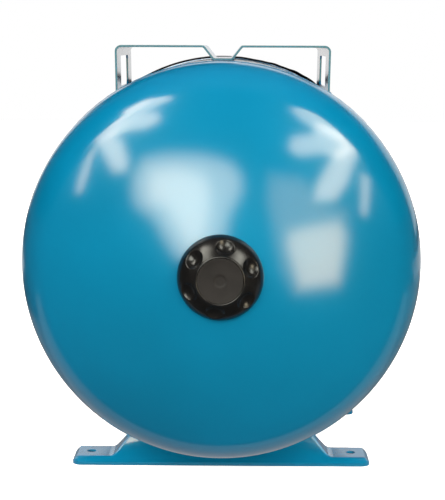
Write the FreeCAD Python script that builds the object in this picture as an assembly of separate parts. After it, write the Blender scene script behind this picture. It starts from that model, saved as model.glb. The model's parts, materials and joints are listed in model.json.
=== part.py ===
import FreeCAD, Part
import math
import os
from FreeCAD import Vector as V

os.makedirs("parts", exist_ok=True)

# Horizontal expansion (pressure) vessel of about 50 litres, in millimetres.
# The shell's axis lies along Y: the air valve end is at -Y, the water end at +Y, +Z is up.
# Everything is first built about the shell's axis, with Y = 0 half-way between the head
# tangent lines, and then moved so that the origin is under the middle, on the floor.

# ---------------------------------------------------------------- driving dimensions
R = 182.5            # shell outer radius
T = 1.5              # shell sheet thickness
HALF = 175.0         # half the distance between the head tangent lines
CROWN = 295.0        # head crown radius, outside
KNUCKLE = 55.6       # head knuckle radius, outside
SKIRT = 12.0         # straight skirt of each head, up to the girth weld
ZA = 208.6           # height of the shell's axis above the floor

WELL_R = 24.0        # inside radius of the valve well in the front head
WELL_D = 14.0        # depth of the valve well below the head's apex

FOOT_L = 289.4       # foot length across the vessel, over the lips
FOOT_W = 45.0        # foot width along the vessel, over the lips
FOOT_T = 2.0         # foot sheet thickness
FOOT_FLAT = 7.9      # height of the bolting flats above the floor
FOOT_HOLE_X = 127.5  # bolt holes at +-X
FOOT_HOLE_R = 4.5    # bolt hole radius, for M8
FOOT_Y = 98.0        # foot centre from the middle of the shell
FOOT_KNEE = 105.4    # where the flat turns up into the incline
FOOT_SLOPE = 50.0    # incline, degrees

BR_T = 2.0           # bracket sheet thickness
BR_W = 190.0         # bracket length along the vessel
BR_X = 103.7         # half width over the side legs, at the top
BR_X_LOW = 102.6     # half width over the side legs, at the shell
BR_TOP = 196.9       # top of the wings above the shell's axis
TR_TOP = 18.6        # trough half width at the wings
TR_LOW = 8.9         # trough half width at the shell
SLOT_X, SLOT_Y = 66.0, 47.0      # pump slots at +-X, +-Y
SLOT_R, SLOT_LEN = 5.0, 36.0     # half width, overall length (along X)
WIN_Y = 48.5         # half width of the window in each side leg
WIN_TOP, WIN_LOW = 186.4, 156.5  # window height limits above the axis

COVER_R = 37.2       # valve cover outer radius
COVER_TOP = 19.2     # valve cover face above the head's apex
COVER_PITCH = 2.0    # cover thread pitch
SCOOPS = 6
SCOOP_PHASE = 21.5   # degrees, first scoop above +X seen from the front

NECK_R = 50.0        # neck outer radius, water end
NECK_IN = 47.5
RING_R = 75.0        # neck ring and flange cover radius
BOLT_PCD = 124.0
BOLTS = 6
NOZ_R = 16.62        # G1 thread, outside radius
NOZ_BORE = 12.5
CLEAR = 0.03         # assembly gap between parts that touch

HD = CROWN - math.sqrt((CROWN - KNUCKLE) ** 2 - (R - KNUCKLE) ** 2)     # head depth beyond the tangent line
R_JOIN = CROWN * (R - KNUCKLE) / (CROWN - KNUCKLE)                      # radius where crown meets knuckle
Y_APEX_F = -(HALF + HD)
Y_APEX_R = HALF + HD
Y_FRONT = Y_APEX_F - COVER_TOP
Y_REAR = Y_APEX_R + 51.0
Y_SHIFT = -(Y_FRONT + Y_REAR) / 2.0


# ---------------------------------------------------------------- helpers
def fu(u):
    """Y of a point u mm outside the front head's apex."""
    return Y_APEX_F - u


def wire_of(start, items):
    """Closed face in the XY plane: items are (x, y) for a line, or ((xm, ym), (x, y)) for an arc."""
    edges, p = [], V(start[0], start[1], 0)
    for it in items:
        if isinstance(it[0], (tuple, list)):
            m, q = V(it[0][0], it[0][1], 0), V(it[1][0], it[1][1], 0)
            edges.append(Part.Arc(p, m, q).toShape())
        else:
            q = V(it[0], it[1], 0)
            if (q - p).Length < 1e-7:
                continue
            edges.append(Part.LineSegment(p, q).toShape())
        p = q
    s = V(start[0], start[1], 0)
    if (p - s).Length > 1e-7:
        edges.append(Part.LineSegment(p, s).toShape())
    return edges


def face_of(edges):
    return Part.Face(Part.Wire(Part.__sortEdges__(edges)))


def turn(edges):
    """Revolves a closed profile (x = radius, y = Y) about the Y axis."""
    return face_of(edges).revolve(V(0, 0, 0), V(0, 1, 0), 360)


def turned(start, items):
    return turn(wire_of(start, items))


def dome_y(r, inset, sign):
    """Y of the head's surface, moved inwards by inset, at radius r on the crown."""
    c = CROWN - inset
    return sign * (HALF + HD - CROWN + math.sqrt(c * c - r * r))


def dome_edges(r_end, inset, sign):
    """Knuckle and crown of a head, from the tangent line in to radius r_end, moved inwards by inset."""
    k, c = KNUCKLE - inset, CROWN - inset
    yk = HALF                                   # knuckle centre at (R - KNUCKLE, HALF)
    yc = HALF + HD - CROWN                      # crown centre on the axis
    a1 = math.acos((R - KNUCKLE) / (CROWN - KNUCKLE))      # angle of the joint, from the radial direction
    kx = R - KNUCKLE
    p = lambda x, y: V(x, sign * y, 0)
    e1 = Part.Arc(p(kx + k, yk), p(kx + k * math.cos(a1 / 2), yk + k * math.sin(a1 / 2)), p(kx + k * math.cos(a1), yk + k * math.sin(a1)))
    a2 = math.acos(r_end / c)
    am = (a1 + a2) / 2
    e2 = Part.Arc(p(c * math.cos(a1), yc + c * math.sin(a1)), p(c * math.cos(am), yc + c * math.sin(am)), p(c * math.cos(a2), yc + c * math.sin(a2)))
    return [e1.toShape(), e2.toShape()]


def polar(n, phase, fn):
    """n copies of a shape made by fn() at +X, turned about the Y axis; phase in degrees above +X seen from the front."""
    out = []
    for i in range(n):
        s = fn()
        # seen from the front (looking along +Y, X to the right, Z up) anticlockwise is a turn about -Y
        s.rotate(V(0, 0, 0), V(0, -1, 0), phase + 360.0 * i / n)
        out.append(s)
    return out


def cyl_y(r, y0, y1, x=0.0, z=0.0):
    return Part.makeCylinder(r, y1 - y0, V(x, y0, z), V(0, 1, 0))


def hex_y(af, y0, y1, x=0.0, z=0.0, rot=0.0):
    c = af / math.sqrt(3.0)
    pts = [V(x + c * math.cos(math.radians(60 * i + rot)), y0, z + c * math.sin(math.radians(60 * i + rot))) for i in range(7)]
    f = Part.Face(Part.makePolygon(pts))
    return f.extrude(V(0, y1 - y0, 0))


def rounded(pts, radii):
    """Edges of an open polyline in the XY plane, each inner corner rounded by its radius."""
    edges, prev = [], V(pts[0][0], pts[0][1], 0)
    for i in range(1, len(pts) - 1):
        a, b, c = (V(p[0], p[1], 0) for p in pts[i - 1 : i + 2])
        r = radii[i - 1]
        d1, d2 = (a - b).normalize(), (c - b).normalize()
        ang = d1.getAngle(d2)
        cut = r / math.tan(ang / 2.0)
        p1, p2 = b + d1 * cut, b + d2 * cut
        bis = (d1 + d2).normalize()
        centre = b + bis * (r / math.sin(ang / 2.0))
        mid = centre - bis * r
        if (p1 - prev).Length > 1e-6:
            edges.append(Part.LineSegment(prev, p1).toShape())
        edges.append(Part.Arc(p1, mid, p2).toShape())
        prev = p2
    last = V(pts[-1][0], pts[-1][1], 0)
    edges.append(Part.LineSegment(prev, last).toShape())
    return edges


def strip(pts, radii, t):
    """Closed face of a bent strip: centreline polyline with centreline bend radii, thickness t."""
    sides = []
    for side in (1, -1):
        off, rr = [], []
        n = len(pts)
        for i in range(n):
            p = V(pts[i][0], pts[i][1], 0)
            if i == 0:
                d = (V(pts[1][0], pts[1][1], 0) - p).normalize()
                q = p + V(-d.y, d.x, 0) * (side * t / 2)
            elif i == n - 1:
                d = (p - V(pts[i - 1][0], pts[i - 1][1], 0)).normalize()
                q = p + V(-d.y, d.x, 0) * (side * t / 2)
            else:
                d1 = (p - V(pts[i - 1][0], pts[i - 1][1], 0)).normalize()
                d2 = (V(pts[i + 1][0], pts[i + 1][1], 0) - p).normalize()
                n1, n2 = V(-d1.y, d1.x, 0), V(-d2.y, d2.x, 0)
                m = (n1 + n2).normalize()
                q = p + m * (side * t / 2 / m.dot(n1))
                turn_left = d1.x * d2.y - d1.y * d2.x > 0
                rr.append(radii[i - 1] - t / 2 if (turn_left == (side > 0)) else radii[i - 1] + t / 2)
            off.append((q.x, q.y))
        sides.append((off, rr))
    e1 = rounded(*sides[0])
    e2 = rounded(*sides[1])
    a0, a1 = sides[0][0][0], sides[0][0][-1]
    b0, b1 = sides[1][0][0], sides[1][0][-1]
    ends = [
        Part.LineSegment(V(*a0, 0), V(*b0, 0)).toShape(),
        Part.LineSegment(V(*a1, 0), V(*b1, 0)).toShape(),
    ]
    return face_of(e1 + e2 + ends)


def xz(face):
    """Turns a face drawn in XY into the XZ plane (drawn y becomes z)."""
    f = face.copy()
    f.rotate(V(0, 0, 0), V(1, 0, 0), 90)
    return f


def extrude_y(face_xy, y0, y1):
    f = xz(face_xy)
    f.translate(V(0, y0, 0))
    return f.extrude(V(0, y1 - y0, 0))


def arc_slab(r0, r1, a0, a1, y0, y1):
    """Piece of a tube wall about the Y axis; angles from +X towards +Z."""
    c = lambda r, a: (r * math.cos(math.radians(a)), r * math.sin(math.radians(a)))
    am = (a0 + a1) / 2
    edges = [
        Part.Arc(V(*c(r1, a0), 0), V(*c(r1, am), 0), V(*c(r1, a1), 0)).toShape(),
        Part.LineSegment(V(*c(r1, a1), 0), V(*c(r0, a1), 0)).toShape(),
        Part.Arc(V(*c(r0, a1), 0), V(*c(r0, am), 0), V(*c(r0, a0), 0)).toShape(),
        Part.LineSegment(V(*c(r0, a0), 0), V(*c(r1, a0), 0)).toShape(),
    ]
    return extrude_y(face_of(edges), y0, y1)


def bead_arc(r_c, rad, a0, a1, y):
    """Round weld bead along an arc about the Y axis; angles from +X towards +Z."""
    c = Part.Face(Part.Wire(Part.Circle(V(r_c, y, 0), V(0, 0, 1), rad).toShape()))
    s = c.revolve(V(0, 0, 0), V(0, -1, 0), a1 - a0)
    s.rotate(V(0, 0, 0), V(0, -1, 0), a0)
    return s


NODES = {}


def keep(name, shape):
    """Registers a node; a list is a group of separate solids."""
    parts = shape if isinstance(shape, list) else [shape]
    solids = []
    for p in parts:
        solids += [s for s in p.Solids]
    out = []
    for s in solids:
        if s.Volume < 0:
            s.reverse()
        out.append(s)
    NODES[name] = out


# ---------------------------------------------------------------- shell
YW = HALF - SKIRT                       # girth weld centre
GAP = 1.0                               # half the butt gap at the weld

# front head, deep drawn, with the pressed valve well in its middle
m_out = 28.0
y_m = dome_y(m_out, 0.0, -1)
m_in = 29.4
y_mi = dome_y(m_in, T, -1)
y_bot = fu(-WELL_D)
edges = []
edges.append(Part.LineSegment(V(R, -(YW + GAP), 0), V(R, -HALF, 0)).toShape())
edges += dome_edges(m_out, 0.0, -1)
edges += wire_of((m_out, y_m), [((25.2, y_m + 1.1), (WELL_R, y_m + 4.0)), (WELL_R, y_bot - 2.0),
                                ((WELL_R - 0.6, y_bot - 0.6), (WELL_R - 2.0, y_bot)), (11.06, y_bot),
                                (11.06, y_bot + T), (WELL_R - 2.0, y_bot + T),
                                ((WELL_R + 0.5, y_bot + 0.46), (WELL_R + T, y_bot - 2.0)),
                                (WELL_R + T, y_m + 4.0), ((26.7, y_mi + 0.75), (m_in, y_mi))])[:-1]
edges += dome_edges(m_in, T, -1)
edges.append(Part.LineSegment(V(R - T, -HALF, 0), V(R - T, -(YW + GAP), 0)).toShape())
edges.append(Part.LineSegment(V(R - T, -(YW + GAP), 0), V(R, -(YW + GAP), 0)).toShape())
keep("front_head", turn(edges))

# rear head, with the opening for the neck
n_r = NECK_R + 0.06
edges = [Part.LineSegment(V(R, YW + GAP, 0), V(R, HALF, 0)).toShape()]
edges += dome_edges(n_r, 0.0, 1)
edges += dome_edges(n_r, T, 1)
edges.append(Part.LineSegment(V(n_r, dome_y(n_r, 0.0, 1), 0), V(n_r, dome_y(n_r, T, 1), 0)).toShape())
edges.append(Part.LineSegment(V(R - T, HALF, 0), V(R - T, YW + GAP, 0)).toShape())
edges.append(Part.LineSegment(V(R - T, YW + GAP, 0), V(R, YW + GAP, 0)).toShape())
keep("rear_head", turn(edges))

keep("shell_cylinder", turned((R - T, -(YW - GAP)), [(R, -(YW - GAP)), (R, YW - GAP), (R - T, YW - GAP)]))


def girth(yc):
    g = GAP - CLEAR
    crown = [(R + CLEAR + 0.8 * (1 - (k / 4.0) ** 2), yc + 3.2 * k / 4.0) for k in range(-3, 5)]
    return turned((R - T - 0.3, yc - g), [(R + CLEAR, yc - g), (R + CLEAR, yc - 3.2)] + crown + [(R + CLEAR, yc + g), (R - T - 0.3, yc + g)])


keep("front_girth_weld", girth(-YW))
keep("rear_girth_weld", girth(YW))

# longitudinal seam bead, low on the left side
seam = arc_slab(R + CLEAR, R + 0.6, 180 + 38.0, 180 + 39.8, -(YW - 6), YW - 6)
keep("seam_weld", seam)

# ---------------------------------------------------------------- feet
saddle_r = R + 0.2
slope = math.tan(math.radians(FOOT_SLOPE))
x_tip = FOOT_KNEE
for _ in range(200):                    # incline meets the saddle circle
    z_line = FOOT_FLAT + (FOOT_KNEE - x_tip) * slope
    z_circ = ZA - math.sqrt(saddle_r ** 2 - x_tip ** 2)
    if z_line >= z_circ:
        break
    x_tip -= 0.25
lo, hi = x_tip, x_tip + 0.25
for _ in range(50):
    mid = (lo + hi) / 2
    if FOOT_FLAT + (FOOT_KNEE - mid) * slope >= ZA - math.sqrt(saddle_r ** 2 - mid ** 2):
        lo = mid
    else:
        hi = mid
x_tip = lo
z_tip = ZA - math.sqrt(saddle_r ** 2 - x_tip ** 2)
HL, HW = FOOT_L / 2, FOOT_W / 2


def foot_top(inset):
    """Side view (X, Z) of the foot's body, moved inwards by inset."""
    t = inset
    s = math.radians(FOOT_SLOPE)
    # end wall leans in from the lip to the flat
    e_low, e_top = (HL - t, 3.0), (HL - 4.6 - t, FOOT_FLAT - t)
    k = FOOT_KNEE - t * math.tan(s / 2)
    # incline moved inwards, up to the saddle circle moved downwards
    rr = saddle_r + t
    p0 = V(k, FOOT_FLAT - t, 0)
    d = V(-math.cos(s), math.sin(s), 0)
    a = 0.0
    for _ in range(4000):
        q = p0 + d * a
        if (q - V(0, ZA, 0)).Length <= rr:
            break
        a += 0.02
    tip = p0 + d * a
    left = rounded([(-tip.x, tip.y), (-k, FOOT_FLAT - t), (-e_top[0], e_top[1]), (-e_low[0], e_low[1]), (-e_low[0], -1.0 if t else 0.0)],
                   [9.0 + t, 3.0 - t / 2, 1.2])
    right = [e.mirror(V(0, 0, 0), V(1, 0, 0)) for e in left]
    bottom = Part.LineSegment(V(-e_low[0], -1.0 if t else 0.0, 0), V(e_low[0], -1.0 if t else 0.0, 0)).toShape()
    saddle = Part.Arc(V(-tip.x, tip.y, 0), V(0, ZA - rr, 0), V(tip.x, tip.y, 0)).toShape()
    return face_of(left + right + [bottom, saddle])


def foot_cross(inset):
    """End view (Y, Z) of the foot's body: a short upright lip, then a flared skirt that steepens as it rises."""
    t = inset
    z0 = -1.0 if t else 0.0
    pts = [V(0, -(HW - t), z0), V(0, -(HW - t), 3.0), V(0, -(HW - 7.6 - t), 13.2), V(0, -(HW - 11.2 - t), 47.0)]
    mir = [V(0, -p.y, p.z) for p in pts]
    e = [
        Part.LineSegment(pts[0], pts[1]).toShape(),
        Part.Arc(pts[1], pts[2], pts[3]).toShape(),
        Part.LineSegment(pts[3], mir[3]).toShape(),
        Part.Arc(mir[3], mir[2], mir[1]).toShape(),
        Part.LineSegment(mir[1], mir[0]).toShape(),
        Part.LineSegment(mir[0], pts[0]).toShape(),
    ]
    return face_of(e)


def foot_plan(inset, r):
    """Plan outline with rounded corners, tapered to follow the skirt."""
    t = inset
    hl, hw = HL - t, HW - t
    b = Part.makeBox(2 * hl, 2 * hw, 60, V(-hl, -hw, -2))
    return b.makeFillet(r, [e for e in b.Edges if abs(e.Vertexes[0].Z - e.Vertexes[-1].Z) > 30])


def foot_body(inset, corner, fillet):
    a = extrude_y(foot_top(inset), -HW - 2, HW + 2)
    b = foot_cross(inset).copy()
    b.translate(V(-HL - 2, 0, 0))
    b = b.extrude(V(FOOT_L + 4, 0, 0))
    s = a.common(b).common(foot_plan(inset, corner))
    s = s.Solids[0]
    if fillet:
        pick = []
        for e in s.Edges:
            pts = [e.valueAt(e.FirstParameter + (e.LastParameter - e.FirstParameter) * k / 4) for k in range(5)]
            top = all(p.z > FOOT_FLAT - inset - 0.2 for p in pts)
            along = abs(pts[0].x - pts[-1].x) > 1.0
            on_side = all(abs(p.y) > 5 for p in pts)
            off_saddle = min(abs((V(0, 0, 0) + V(p.x, 0, p.z - ZA)).Length - (saddle_r + inset)) for p in pts[1:4]) > 0.05
            if top and along and on_side and off_saddle:
                pick.append(e)
        try:
            f = s.makeFillet(fillet, pick)
            if f.isValid() and f.Volume > 0.9 * s.Volume:
                s = f.Solids[0]
            else:
                print("foot fillet invalid", inset)
        except Exception as ex:
            print("foot fillet failed", inset, ex)
    return s


outer = foot_body(0.0, 9.0, 3.0)
inner = foot_body(FOOT_T, 7.0, 1.0)
foot = outer.cut(inner)
for sx in (-1, 1):
    foot = foot.cut(Part.makeCylinder(FOOT_HOLE_R, 20, V(sx * FOOT_HOLE_X, 0, 0), V(0, 0, 1)))
foot = foot.Solids[0]
foot.translate(V(0, 0, -ZA))
for name, yc in (("front_foot", -FOOT_Y), ("rear_foot", FOOT_Y)):
    f = foot.copy()
    f.translate(V(0, yc, 0))
    keep(name, f)

# weld beads along both edges of each saddle
half_ang = math.degrees(math.asin(x_tip / saddle_r)) - 4.0
saddle_hw = HW - 11.4
beads = []
for yc in (-FOOT_Y, FOOT_Y):
    for sy in (-1, 1):
        for a0, a1 in ((270 - half_ang, 270 - 7.0), (270 + 7.0, 270 + half_ang)):
            beads.append(bead_arc(R + 1.75, 1.7, a0, a1, yc + sy * (saddle_hw + 3.3)))
keep("foot_welds", beads)

# ---------------------------------------------------------------- pump bracket
zc = BR_TOP - BR_T / 2
z_tr = R + 0.15 + BR_T / 2
pts = [
    (-(BR_X_LOW - BR_T / 2), 140.0),
    (-(BR_X - BR_T / 2), zc),
    (-TR_TOP, zc),
    (-TR_LOW, z_tr),
    (TR_LOW, z_tr),
    (TR_TOP, zc),
    (BR_X - BR_T / 2, zc),
    (BR_X_LOW - BR_T / 2, 140.0),
]
br = extrude_y(strip(pts, [5.0, 3.0, 3.0, 3.0, 3.0, 5.0], BR_T), -BR_W / 2, BR_W / 2)
br = br.cut(cyl_y(R + 0.25, -200, 200))
br = max(br.Solids, key=lambda s: s.Volume)


def rounded_box(x0, x1, y0, y1, z0, z1, r, axis):
    b = Part.makeBox(x1 - x0, y1 - y0, z1 - z0, V(x0, y0, z0))
    k = {"x": lambda e: abs(e.Vertexes[0].X - e.Vertexes[-1].X), "z": lambda e: abs(e.Vertexes[0].Z - e.Vertexes[-1].Z)}[axis]
    return b.makeFillet(r, [e for e in b.Edges if k(e) > 1.0])


for sx in (-1, 1):
    x0, x1 = sorted((sx * (BR_X_LOW - 6), sx * (BR_X + 6)))
    br = br.cut(rounded_box(x0, x1, -WIN_Y, WIN_Y, WIN_LOW, WIN_TOP, 4.0, "x"))
    for sy in (-1, 1):
        cx, cy = sx * SLOT_X, sy * SLOT_Y
        h = SLOT_LEN / 2 - SLOT_R
        slot = Part.makeBox(2 * h, 2 * SLOT_R, 12, V(cx - h, cy - SLOT_R, BR_TOP - 6))
        for e in (-1, 1):
            slot = slot.fuse(Part.makeCylinder(SLOT_R, 12, V(cx + e * h, cy, BR_TOP - 6), V(0, 0, 1)))
        br = br.cut(slot.removeSplitter())
keep("pump_bracket", br)

beads = []
for sx in (-1, 1):
    # along the trough's outside corners
    for y0 in (-BR_W / 2 + 6, BR_W / 2 - 46):
        b = Part.makeCylinder(1.3, 40, V(sx * (TR_LOW + 0.4), y0, R + 1.2), V(0, 1, 0))
        beads.append(b.cut(br).cut(cyl_y(R + 0.05, -200, 200)))
    # outside the side legs
    for y0 in (-BR_W / 2 + 5, BR_W / 2 - 40):
        z_leg = math.sqrt(R ** 2 - BR_X_LOW ** 2)
        b = Part.makeCylinder(2.2, 35, V(sx * (BR_X_LOW + 0.6), y0, z_leg + 0.6), V(0, 1, 0))
        beads.append(b.cut(br).cut(cyl_y(R + 0.05, -200, 200)))
beads = [max(b.Solids, key=lambda s: s.Volume) for b in beads]
keep("bracket_welds", beads)

# ---------------------------------------------------------------- labels
keep("wrap_label", arc_slab(R + 0.05, R + 1.25, 90 - 62, 90 + 62, BR_W / 2 + 3.0, YW - 5.0))
keep("rating_plate", arc_slab(R + 0.05, R + 0.45, 13.0, 41.0, -60.0, 50.0))

# ---------------------------------------------------------------- water end
yr = Y_APEX_R
y_ring0, y_ring1 = yr + 8.0, yr + 13.0
keep("neck_tube", turned((NECK_IN, yr - 11.0), [(NECK_R, yr - 11.0), (NECK_R, y_ring1), (NECK_IN, y_ring1)]))
neck = turned((NECK_R + CLEAR, y_ring0), [(RING_R, y_ring0), (RING_R, y_ring1), (NECK_R + CLEAR, y_ring1)])


def bolt_centres():
    for i in range(BOLTS):
        a = math.radians(30 + 60.0 * i)
        yield BOLT_PCD / 2 * math.cos(a), BOLT_PCD / 2 * math.sin(a)


for x, z in bolt_centres():
    neck = neck.cut(cyl_y(4.5, y_ring0 - 1, y_ring1 + 1, x, z))
keep("neck_ring", neck)
y_d = dome_y(NECK_R, 0.0, 1)
keep("neck_weld", turned((NECK_R + CLEAR, y_d + 0.12), [(NECK_R + 4.6, dome_y(NECK_R + 4.6, 0.0, 1) + 0.12), ((NECK_R + 1.6, y_d + 1.9), (NECK_R + CLEAR, y_d + 4.2))]))

# bladder, in its relaxed shape, with the lip that is clamped under the flange cover
lip0, lip1 = y_ring1 + CLEAR, y_ring1 + 3.0 - CLEAR
BA, BB, BC = 118.0, 215.0, 10.0
bt = 3.0
neck_o = NECK_IN - 0.6
y_no = BC + BB * math.sqrt(1 - (neck_o / BA) ** 2)
neck_i = neck_o - bt
y_ni = BC + (BB - bt) * math.sqrt(1 - (neck_i / (BA - bt)) ** 2)


def bl_arc(a, b, r_end):
    """Half ellipse, long in Y, from its tip on the axis to radius r_end at the water end."""
    e = Part.Ellipse(V(0, BC + b, 0), V(a, BC, 0), V(0, BC, 0))
    return Part.ArcOfEllipse(e, math.asin(r_end / a), math.pi).toShape()


edges = [bl_arc(BA, BB, neck_o)]
edges += [
    Part.LineSegment(V(neck_o, y_no, 0), V(neck_o, lip0, 0)).toShape(),
    Part.LineSegment(V(neck_o, lip0, 0), V(57.0, lip0, 0)).toShape(),
    Part.LineSegment(V(57.0, lip0, 0), V(57.0, lip1, 0)).toShape(),
    Part.LineSegment(V(57.0, lip1, 0), V(neck_i, lip1, 0)).toShape(),
    Part.LineSegment(V(neck_i, lip1, 0), V(neck_i, y_ni, 0)).toShape(),
    bl_arc(BA - bt, BB - bt, neck_i),
    Part.LineSegment(V(0, BC - (BB - bt), 0), V(0, BC - BB, 0)).toShape(),
]
keep("bladder", turn(edges))

y_c0, y_c1 = y_ring1 + 3.0, y_ring1 + 6.0
rise = 8.0
cover = turned((RING_R, y_c0), [(RING_R, y_c1 - 0.8), (RING_R - 0.8, y_c1), (42.0, y_c1), (28.0, y_c1 + rise), (17.56, y_c1 + rise),
                                (17.56, y_c0 + rise), (27.2, y_c0 + rise), (41.2, y_c0)])
for x, z in bolt_centres():
    cover = cover.cut(cyl_y(4.5, y_c0 - 1, y_c1 + 1, x, z))
keep("flange_cover", cover)

y_n0 = y_c0 + rise - 3.0
y_thr0 = Y_REAR - 21.0
y_thr1 = Y_REAR - 1.0
keep("water_nozzle", turned((NOZ_BORE, y_n0), [(17.5, y_n0), (17.5, y_thr0), (NOZ_R, y_thr0), (NOZ_R, y_thr1), (NOZ_R - 1.0, Y_REAR), (NOZ_BORE, Y_REAR)]))
yw = y_c1 + rise + CLEAR
keep("nozzle_weld", turned((17.5 + CLEAR, yw), [(20.6, yw), ((18.6, yw + 1.0), (17.5 + CLEAR, yw + 2.6))]))

bolts, washers, nuts = [], [], []
for i, (x, z) in enumerate(bolt_centres()):
    y_w0 = y_c1 + 0.02
    y_h0 = y_w0 + 1.6
    w = cyl_y(8.0, y_w0, y_h0, x, z).cut(cyl_y(4.2, y_w0 - 1, y_h0 + 1, x, z))
    washers.append(w)
    h = hex_y(13.0, y_h0 + 0.02, y_h0 + 5.3, x, z, 10.0 * i)
    cone = Part.makeCone(8.6, 5.6, 3.0, V(x, y_h0 + 3.4, z), V(0, 1, 0))
    head = h.common(cone.fuse(cyl_y(8.6, y_h0 - 1, y_h0 + 3.4, x, z)))
    shank = cyl_y(3.97, yr - 1.5, y_h0 + 1.0, x, z)
    bolts.append(head.fuse(shank).removeSplitter())
    n = hex_y(13.0, y_ring0 - 6.5, y_ring0 - 0.02, x, z, 17.0 * i)
    nuts.append(n.cut(cyl_y(4.0, y_ring0 - 8, y_ring0 + 1, x, z)))
keep("flange_bolts", bolts)
keep("flange_washers", washers)
keep("flange_nuts", nuts)

# ---------------------------------------------------------------- air valve
keep("valve_bush", turned((5.0, fu(-18.0)), [(11.0, fu(-18.0)), (11.0, fu(-7.6)), (10.4, fu(-7.0)), (5.0, fu(-7.0))]))
yb = y_bot - 0.03
keep("bush_weld", turned((11.0 + CLEAR, yb), [(13.4, yb), ((11.8, yb - 0.8), (11.0 + CLEAR, yb - 2.3))]))
keep("valve_seal", turned((5.1, fu(-6.97)), [(7.0, fu(-6.97)), (7.0, fu(-6.03)), (5.1, fu(-6.03))]))

body = turned((2.6, fu(5.0)), [(3.45, fu(5.0)), (3.85, fu(4.5)), (3.85, fu(-2.6)), (4.95, fu(-2.6)), (4.95, fu(-17.0)), (1.2, fu(-17.0)), (1.2, fu(-11.2)), (2.6, fu(-11.2))])
hx = hex_y(14.0, fu(-2.5), fu(-6.0), 0, 0, 15.0)
hx = hx.cut(cyl_y(4.0, fu(-2.0), fu(-7.0)))
body = body.fuse(hx).removeSplitter()
keep("valve_body", body)
keep("valve_core", turned((0.92, fu(4.2)), [(2.55, fu(4.2)), (2.55, fu(-3.0)), (0.92, fu(-3.0))]))
pin = turned((0, fu(4.7)), [(0.6, fu(4.7)), (0.8, fu(4.5)), (0.8, fu(-3.06)), (2.2, fu(-3.06)), (2.2, fu(-4.4)), (0.8, fu(-4.4)), (0.8, fu(-10.0)), (0, fu(-10.0))])
keep("valve_pin", pin)
hel = Part.makeHelix(1.12, 6.26, 1.9)
prof = Part.Wire(Part.Circle(V(1.9, 0, 0), V(0, 1, 0), 0.24).toShape())
spring = Part.Wire(hel).makePipeShell([prof], True, True)
spring.rotate(V(0, 0, 0), V(1, 0, 0), 90)     # +Z to -Y
spring.translate(V(0, fu(-10.93), 0))
keep("core_spring", spring)

keep("dust_cap", turned((3.92, fu(-2.3)), [(5.2, fu(-2.3)), (5.6, fu(-1.8)), (5.6, fu(7.2)), (5.0, fu(7.8)), (0, fu(7.8)), (0, fu(6.3)), (3.92, fu(6.3))]))
keep("dust_cap_liner", turned((1.3, fu(5.06)), [(3.6, fu(5.06)), (3.6, fu(6.25)), (1.3, fu(6.25))]))

# ---------------------------------------------------------------- valve cover
# outer moulding with the finger scoops, a threaded sleeve whose flange sits on the moulding's
# inner ledge, and the centre disc that snaps in above the flange
cr = COVER_R
DISC_R = 19.5
skin = turned((0, fu(-2.0)), [(cr - 0.3, fu(-2.0)), (cr, fu(-1.7)), (cr, fu(1.2)), ((31.8, fu(11.7)), (22.1, fu(18.0))),
                              ((21.6, fu(18.7)), (20.7, fu(COVER_TOP))), (0, fu(COVER_TOP))])
cav = turned((0, fu(-3.0)), [(36.0, fu(-3.0)), (36.0, fu(0.85)), (33.4, fu(0.85)), (33.4, fu(3.2)), ((29.5, fu(9.9)), (20.8, fu(15.7))),
                             (20.2, fu(16.35)), (0, fu(16.35))])
sc_r, sc_u = 32.8, 18.4
for s in polar(SCOOPS, SCOOP_PHASE, lambda: Part.makeSphere(13.2, V(sc_r, fu(sc_u), 0))):
    cav = cav.cut(s)
ledge = turned((17.6, fu(13.0)), [(25.4, fu(13.0)), (22.6, fu(16.6)), (19.0, fu(16.8)), (19.0, fu(14.67)), (17.6, fu(14.67))])
cover = skin.cut(cav).fuse(ledge)
cover = cover.cut(cyl_y(DISC_R + 0.1, fu(COVER_TOP + 1), fu(14.67)))
for s in polar(SCOOPS, SCOOP_PHASE, lambda: Part.makeSphere(11.0, V(sc_r, fu(sc_u), 0))):
    cover = cover.cut(s)
cover = cover.removeSplitter()
cover = max(cover.Solids, key=lambda s: s.Volume)
keep("valve_cover", cover)
keep("cover_disc", turned((0, fu(16.43)), [(DISC_R - 0.3, fu(16.43)), (DISC_R, fu(16.73)), (DISC_R, fu(COVER_TOP - 0.35)), (DISC_R - 0.25, fu(COVER_TOP - 0.1)),
                                           ((11.0, fu(COVER_TOP - 0.55)), (5.4, fu(COVER_TOP - 0.6))),
                                           ((4.9, fu(COVER_TOP - 0.85)), (4.4, fu(COVER_TOP - 1.0))), (0, fu(COVER_TOP - 1.0))]))
keep("cover_insert", turned((11.1, fu(16.4)), [(19.3, fu(16.4)), (19.3, fu(14.7)), (13.6, fu(14.7)), (13.6, fu(-10.6)), (13.2, fu(-11.0)), (11.5, fu(-11.0)), (11.1, fu(-10.6))]))
keep("cover_seal_ring", turned((33.6, fu(-1.86)), [(35.9, fu(-1.86)), (35.9, fu(0.8)), (33.6, fu(0.8))]))

# ---------------------------------------------------------------- export
bb = None
for name, solids in NODES.items():
    moved = []
    for s in solids:
        s = s.copy()
        s.translate(V(0, Y_SHIFT, ZA))
        if not s.isValid():
            print("INVALID", name)
        moved.append(s)
    shape = moved[0] if len(moved) == 1 else Part.makeCompound(moved)
    shape.exportStep("parts/%s.step" % name)
    b = shape.BoundBox
    bb = FreeCAD.BoundBox(b) if bb is None else bb
    bb.add(b)
    print("%-18s n=%d vol=%.1f  X %.2f..%.2f  Y %.2f..%.2f  Z %.2f..%.2f" % (name, len(moved), sum(s.Volume for s in moved), b.XMin, b.XMax, b.YMin, b.YMax, b.ZMin, b.ZMax))
print("overall", bb)
print("shift", Y_SHIFT, "x_tip", x_tip, "z_tip", z_tip, "nodes", len(NODES))
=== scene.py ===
import json
import math

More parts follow.
